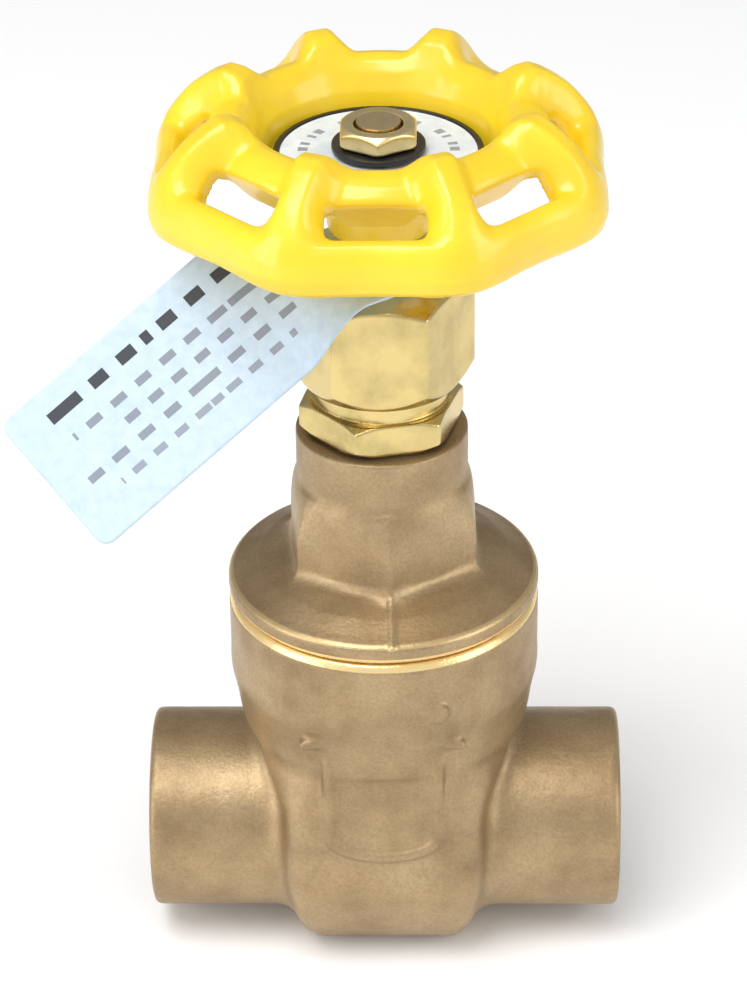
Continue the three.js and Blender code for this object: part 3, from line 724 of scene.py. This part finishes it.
def make_packing_nut():
    foot, top, shoulder = PACKING_NUT_FOOT_Z, PACKING_NUT_TOP_Z, PACKING_NUT_SHOULDER_Z
    g = Grid((-12, -12, foot), (12, 12, top), 0.16)
    corner = PACKING_NUT_FLATS / math.sqrt(3)
    rounded = turned(g, [
        (0, foot), (corner - 2.1, foot), (corner, foot + 2.2), (corner, shoulder - 0.6),
        (corner - 2, shoulder + 0.6), (corner - 4.2, top), (0, top),
    ])
    solid = smooth_max(hexagon(g, PACKING_NUT_FLATS, math.pi / 6), rounded, 0.35)
    solid = smooth_max(solid, -rod(g, STUFFING_NECK_R + GAP, foot - 1, STUFFING_TOP_Z + 2.8), 0.3)
    solid = smooth_max(solid, -rod(g, STEM_R + 0.4, foot, top + 1), 0.3)
    add_piece("valve_packing_nut", solid, g, "housing", "packing_nut", BRASS)


# ---------- hand wheel ----------

# The wheel's skin as (radius at a window, height there, radius at a knuckle, height there), where the
# heights are above the flow axis. It runs from the dish over the crest and the rim, and back along the
# hollow underside.
WHEEL_SKIN = [
    (DISH_R, 96.2, DISH_R, 96.2),
    (13.8, 98.6, 14.0, 98.8),
    (14.8, 100.7, 15.3, 101.0),
    (15.8, 101.9, 16.4, 102.6),
    (17.0, 102.4, 17.2, 103.9),
    (18.4, 102.1, 18.4, 104.6),
    (19.6, 101.4, 20.1, 104.8),
    (20.6, 100.3, 21.8, 104.0),
    (21.4, 99.2, 23.4, 102.9),
    (22.6, 98.2, 24.9, 101.7),
    (24.0, 97.6, 26.1, 100.4),
    (25.2, 97.6, 27.1, 99.1),
    (26.2, 97.3, 27.9, 97.9),
    (26.9, 96.4, 28.5, 96.4),
    (RIM_SIDE_R, 95.0, 28.9, 94.8),
    (RIM_SIDE_R, 93.0, RIM_CORNER_R, 93.0),
    (RIM_SIDE_R - 0.4, 91.4, RIM_CORNER_R - 0.4, 91.4),
    (RIM_SIDE_R - 1.4, 90.5, RIM_CORNER_R - 1.5, 90.5),
    (24.8, 91.6, 26.4, 91.8),
    (24.0, 93.6, 25.8, 94.4),
    (22.4, 94.6, 24.8, 97.2),
    (20.8, 94.8, 23.2, 99.4),
    (19.2, 95.0, 20.6, 100.8),
    (17.6, 95.2, 18.4, 100.2),
    (16.2, 95.2, 16.3, 98.0),
    (14.9, 94.6, 14.9, 94.6),
    (0.0, 94.2, 0.0, 94.2),
    (0.0, 96.2, 0.0, 96.2),
]
RIM_POINTS = range(10, 21)  # the skin's points that follow the rim's eight sides


def wheel_outline(off):
    """The wheel's section as (radius, height) points, at an angle from the middle of a window."""
    half = math.pi / KNUCKLES
    corner = 2 * (off / half) ** 2 - (off / half) ** 4
    points = []
    for number, (r0, h0, r1, h1) in enumerate(WHEEL_SKIN):
        knuckle = 1 - blend_step(KNUCKLE_TOP_HALF, KNUCKLE_FOOT_HALF, r1 * (half - off))
        share = corner if number in RIM_POINTS else knuckle
        points.append((r0 + (r1 - r0) * share, h0 + (h1 - h0) * knuckle))
    return points


def wheel_ring(g, off):
    """The wheel without its hub and windows, from sections worked out at even steps of angle."""
    half = math.pi / KNUCKLES
    steps = 48
    radial_step = 0.15
    radii = np.arange(0, 44, radial_step, dtype=np.float32)
    heights = g.z.ravel() - PORT_Z
    tables = []
    for off_now in np.linspace(0, half, steps + 1):
        points = wheel_outline(off_now)
        mirrored = [(-r, h) for r, h in reversed(points) if r > 0]
        tables.append(polygon_distance(radii[:, None], heights[None, :], points + mirrored))
    tables = np.array(tables)
    place = np.abs(off) / half * steps
    i = np.minimum(place.astype(int), steps - 1)
    share = (place - i)[..., None]
    place_r = g.r[..., 0] / radial_step
    j = place_r.astype(int)
    share_r = (place_r - j)[..., None]
    solid = (tables[i, j] * (1 - share_r) + tables[i, j + 1] * share_r) * (1 - share)
    return solid + (tables[i + 1, j] * (1 - share_r) + tables[i + 1, j + 1] * share_r) * share


def wheel_windows(g, off):
    """The rounded slots between the knuckles, as one field."""
    along = (g.r[..., 0] * np.cos(off))[..., None]
    across = (g.r[..., 0] * np.sin(off))[..., None]
    wide = np.abs(across) - WINDOW_WIDTH / 2 + WINDOW_CORNER
    lean = (along - WINDOW_R) * math.cos(WINDOW_SLANT) - (g.z - WINDOW_Z) * math.sin(WINDOW_SLANT)
    high = np.abs(lean) - WINDOW_HEIGHT / 2 + WINDOW_CORNER
    window = rounded_distance(wide, high, WINDOW_CORNER)
    depth = (WINDOW_R - along) * math.sin(WINDOW_SLANT) + (WINDOW_Z - g.z) * math.cos(WINDOW_SLANT)
    return np.maximum(window, np.abs(depth - 3) - 9)


def make_handwheel():
    g = Grid((-29.2, -29.2, HUB_FOOT_Z), (29.2, 29.2, PORT_Z + 105.2), 0.3)
    angle = np.arctan2(g.y, g.x)[..., 0]
    turns = (angle + math.pi / 2) * KNUCKLES / (2 * math.pi)
    off = (turns - np.round(turns)) * 2 * math.pi / KNUCKLES
    solid = smooth_max(wheel_ring(g, off), -wheel_windows(g, off), 0.8)
    hub = turned(g, [
        (0, HUB_FOOT_Z), (5.6, HUB_FOOT_Z), (6.4, HUB_FOOT_Z + 0.8), (7.4, PORT_Z + 94.1),
        (8.6, PORT_Z + 94.1), (8.6, DISH_Z), (0, DISH_Z),
    ])
    solid = smooth_min(solid, hub, 1.5)
    dish = np.maximum(g.r - DISH_R, DISH_Z - g.z)
    solid = np.maximum(solid, -dish)
    socket = np.maximum(np.abs(g.x), np.abs(g.y)) - SQUARE_SOCKET_HALF
    solid = np.maximum(solid, -socket)
    add_piece("valve_handwheel", solid, g, "spindle", "handwheel", YELLOW, 2)


def make_plate_washer_nut():
    plate_z = DISH_Z + GAP
    washer_z = plate_z + PLATE_THICKNESS + GAP
    nut_z = washer_z + WASHER_THICKNESS + GAP
    nut_top = nut_z + WHEEL_NUT_HEIGHT
    hole = STEM_STUD_R + GAP
    g = Grid((-13, -13, plate_z), (13, 13, plate_z + PLATE_THICKNESS), 0.12)
    plate = turned(g, [
        (0, plate_z), (PLATE_R, plate_z), (PLATE_R, plate_z + PLATE_THICKNESS),
        (PLATE_R - 0.7, plate_z + PLATE_THICKNESS), (PLATE_R - 0.85, plate_z + 0.4), (0, plate_z + 0.4),
    ])
    plate = np.maximum(plate, hole - g.r)
    add_piece("wheel_nameplate", plate, g, "spindle", "nameplate", PLATE)
    g = Grid((-6, -6, washer_z), (6, 6, washer_z + WASHER_THICKNESS), 0.1)
    washer = smooth_max(rod(g, WASHER_R, washer_z, washer_z + WASHER_THICKNESS), hole - g.r, 0.1)
    add_piece("wheel_washer_disc", washer, g, "spindle", "wheel_washer", BLACK)
    g = Grid((-5.5, -5.5, nut_z), (5.5, 5.5, nut_top), 0.1)
    corner = WHEEL_NUT_FLATS / math.sqrt(3)
    crown = turned(g, [
        (0, nut_z), (corner - 0.3, nut_z), (corner, nut_z + 0.4),
        (corner, nut_top - 0.8), (corner - 0.9, nut_top), (0, nut_top),
    ])
    nut = smooth_max(hexagon(g, WHEEL_NUT_FLATS), crown, 0.25)
    nut = smooth_max(nut, hole - g.r, 0.3)
    add_piece("wheel_hex_nut", nut, g, "spindle", "wheel_nut", NUT_BRASS)


# ---------- paper hang tag ----------


def unit(vector):
    return vector / np.linalg.norm(vector)


def tag_frame(s):
    """Directions along, across and square to the tag, s millimetres past the stem."""
    bend = float(blend_step(*TAG_BEND, s))
    along = unit(np.array((-0.8, -0.6, 0)) * (1 - bend) + np.array((-0.759, -0.335, -0.561)) * bend)
    across = np.array((-0.6, 0.8, 0)) * (1 - bend) + np.array((-0.707, 0.363, 0.607)) * bend
    across = unit(across - along * (across @ along))
    return along, across, unit(np.cross(across, along))


def tag_outline(s, w):
    """Distance to the flat tag's outline: a strip with rounded corners and a round hole for the stem."""
    qs = np.abs(s - (TAG_LENGTH / 2 - TAG_BEHIND)) - TAG_LENGTH / 2 + TAG_CORNER
    qw = np.abs(w) - TAG_WIDTH / 2 + TAG_CORNER
    strip = rounded_distance(qs, qw, TAG_CORNER)
    return np.maximum(strip, TAG_HOLE_R - np.sqrt(s**2 + w**2))


def pulled_to_outline(flat_s, flat_w):
    """The flat grid of points, with those next to the tag's edge moved onto it."""
    nudge = 0.01
    near = tag_outline(flat_s, flat_w) > -TAG_STEP * 0.7
    for _ in range(4):
        slope_s = (tag_outline(flat_s + nudge, flat_w) - tag_outline(flat_s - nudge, flat_w)) / (2 * nudge)
        slope_w = (tag_outline(flat_s, flat_w + nudge) - tag_outline(flat_s, flat_w - nudge)) / (2 * nudge)
        off = tag_outline(flat_s, flat_w)
        edge = near & (np.abs(off) < TAG_STEP)
        flat_s = np.where(edge, flat_s - off * slope_s, flat_s)
        flat_w = np.where(edge, flat_w - off * slope_w, flat_w)
    return flat_s, flat_w


def tag_layers(s, flat_s, flat_w):
    """The upper and lower faces of the bent tag, from its flat points. s holds even steps along it."""
    frames = [tag_frame(value) for value in s]
    centre = np.array((0.0, 0.0, PACKING_NUT_TOP_Z + GAP + TAG_THICKNESS / 2))
    centres = [centre + frames[0][0] * s[0]]
    for value in s[:-1]:
        centres.append(centres[-1] + tag_frame(value + TAG_STEP / 2)[0] * TAG_STEP)
    centres, frames = np.array(centres), np.array(frames)
    rows = np.interp(flat_s.ravel(), s, np.arange(len(s))).reshape(flat_s.shape)
    low = np.minimum(rows.astype(int), len(s) - 2)
    part = (rows - low)[..., None]
    spine = centres[low] * (1 - part) + centres[low + 1] * part
    across = frames[low, 1] * (1 - part) + frames[low + 1, 1] * part
    normal = frames[low, 2] * (1 - part) + frames[low + 1, 2] * part
    surface = spine + across * flat_w[..., None]
    return [surface + normal * TAG_THICKNESS / 2, surface - normal * TAG_THICKNESS / 2]


def sheet_quads(keep):
    """Quads of both faces of a sheet and the wall round its edges. keep says which cells it covers."""
    rows, columns = keep.shape[0] + 1, keep.shape[1] + 1

    def number(layer, i, j):
        return layer * rows * columns + i * columns + j

    i, j = np.nonzero(keep)
    quads = [
        np.stack([number(0, i, j), number(0, i, j + 1), number(0, i + 1, j + 1), number(0, i + 1, j)], 1),
        np.stack([number(1, i, j), number(1, i + 1, j), number(1, i + 1, j + 1), number(1, i, j + 1)], 1),
    ]
    padded = np.pad(keep, 1)
    # Each side of a cell: the way to the cell beyond it, and its two ends.
    sides = (
        (-1, 0, (0, 0), (0, 1)),
        (1, 0, (1, 1), (1, 0)),
        (0, -1, (1, 0), (0, 0)),
        (0, 1, (0, 1), (1, 1)),
    )
    for di, dj, a, b in sides:
        bare = ~padded[i + 1 + di, j + 1 + dj]
        ei, ej = i[bare], j[bare]
        quads.append(np.stack([
            number(0, ei + b[0], ej + b[1]), number(0, ei + a[0], ej + a[1]),
            number(1, ei + a[0], ej + a[1]), number(1, ei + b[0], ej + b[1]),
        ], 1))
    return np.concatenate(quads)


def make_hang_tag():
    s = np.arange(-TAG_BEHIND - TAG_STEP, TAG_LENGTH - TAG_BEHIND + 2 * TAG_STEP, TAG_STEP)
    w = np.arange(-TAG_WIDTH / 2 - TAG_STEP, TAG_WIDTH / 2 + 2 * TAG_STEP, TAG_STEP)
    flat_s, flat_w = np.meshgrid(s, w, indexing="ij")
    keep = tag_outline(flat_s[:-1, :-1] + TAG_STEP / 2, flat_w[:-1, :-1] + TAG_STEP / 2) < 0
    flat_s, flat_w = pulled_to_outline(flat_s, flat_w)
    layers = tag_layers(s, flat_s, flat_w)
    used, quads = np.unique(sheet_quads(keep), return_inverse=True)
    verts = np.concatenate([layer.reshape(-1, 3) for layer in layers])[used]
    flat = np.tile(np.stack([flat_s.ravel(), flat_w.ravel()], 1), (2, 1))[used]
    obj = mesh_object("valve_hang_tag", verts, quads.reshape(-1, 4))
    layer = obj.data.uv_layers.new(name="flat")
    corners = np.zeros(len(obj.data.loops), np.int32)
    obj.data.loops.foreach_get("vertex_index", corners)
    layer.data.foreach_set("uv", flat[corners].astype(np.float32).ravel())
    obj.data.materials.append(PAPER)
    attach(obj, "tag")
    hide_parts("hang_tag")


# ---------- staging ----------


def make_floor():
    signs = ((-1, -1), (1, -1), (1, 1), (-1, 1))
    corners = [(x * FLOOR_HALF, y * FLOOR_HALF, 0) for x, y in signs]
    mesh = bpy.data.meshes.new("floor")
    mesh.from_pydata(corners, [], [(0, 1, 2, 3)])
    floor = bpy.data.objects.new("floor", mesh)
    bpy.context.scene.collection.objects.link(floor)
    floor.location.z = -FLOOR_DROP
    material, _, shader = new_material("studio_white")
    shader.inputs["Base Color"].default_value = (0.93, 0.93, 0.93, 1)
    shader.inputs["Roughness"].default_value = 0.9
    shader.inputs["Emission Color"].default_value = (1, 1, 1, 1)
    shader.inputs["Emission Strength"].default_value = 0.02
    mesh.materials.append(material)


def add_area_light(name, location, target, size, power):
    light = bpy.data.lights.new(name, "AREA")
    light.shape = "RECTANGLE"
    light.size, light.size_y = size
    light.energy = power
    obj = bpy.data.objects.new(name, light)
    bpy.context.scene.collection.objects.link(obj)
    obj.location = location
    direction = Vector(target) - Vector(location)
    obj.rotation_euler = direction.to_track_quat("-Z", "Y").to_euler()


def make_studio():
    """White surroundings, brighter in front than behind, with three soft lights."""
    world = bpy.data.worlds.new("studio")
    bpy.context.scene.world = world
    world.use_nodes = True
    tree = world.node_tree
    background = tree.nodes["Background"]
    background.inputs["Color"].default_value = (1, 1, 1, 1)
    _, depth, _ = separate(tree, tree.nodes.new("ShaderNodeTexCoord").outputs["Generated"])
    tree.links.new(remap(tree, depth, -1, 1, 0.85, 0.3), background.inputs["Strength"])
    for light in AREA_LIGHTS:
        add_area_light(*light)
    bpy.context.scene.view_settings.view_transform = "Standard"


def make_camera():
    """A pinhole camera above the front, slightly rolled."""
    back = Vector((
        math.sin(CAMERA_AZIMUTH) * math.cos(CAMERA_ELEVATION),
        -math.cos(CAMERA_AZIMUTH) * math.cos(CAMERA_ELEVATION),
        math.sin(CAMERA_ELEVATION),
    ))
    right = Vector((math.cos(CAMERA_AZIMUTH), math.sin(CAMERA_AZIMUTH), 0))
    up = back.cross(right)
    right, up = (
        right * math.cos(CAMERA_ROLL) + up * math.sin(CAMERA_ROLL),
        up * math.cos(CAMERA_ROLL) - right * math.sin(CAMERA_ROLL),
    )
    data = bpy.data.cameras.new("camera")
    data.lens = CAMERA_LENS
    data.sensor_width = CAMERA_SENSOR
    data.clip_start = 0.01
    camera = bpy.data.objects.new("camera", data)
    bpy.context.scene.collection.objects.link(camera)
    place = Matrix((right, up, back)).transposed().to_4x4()
    place.translation = (Vector(CAMERA_TARGET) + back * CAMERA_DISTANCE) * MM
    camera.matrix_world = place
    bpy.context.scene.camera = camera


def finish_cad_node(node, material):
    """Give a CAD node that stays in view its own material."""
    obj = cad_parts[node]
    obj.data.materials.clear()
    obj.data.materials.append(material)


make_camera()
make_studio()
make_floor()
make_body()
make_bonnet()
make_stuffing_box()
make_packing_nut()
make_handwheel()
make_plate_washer_nut()
make_hang_tag()
finish_cad_node("stem", STEM)
finish_cad_node("wedge", CAST)
finish_cad_node("packing_gland", BRASS)
for ring in ("lower", "middle", "upper"):
    finish_cad_node("packing_ring_" + ring, PACKING)
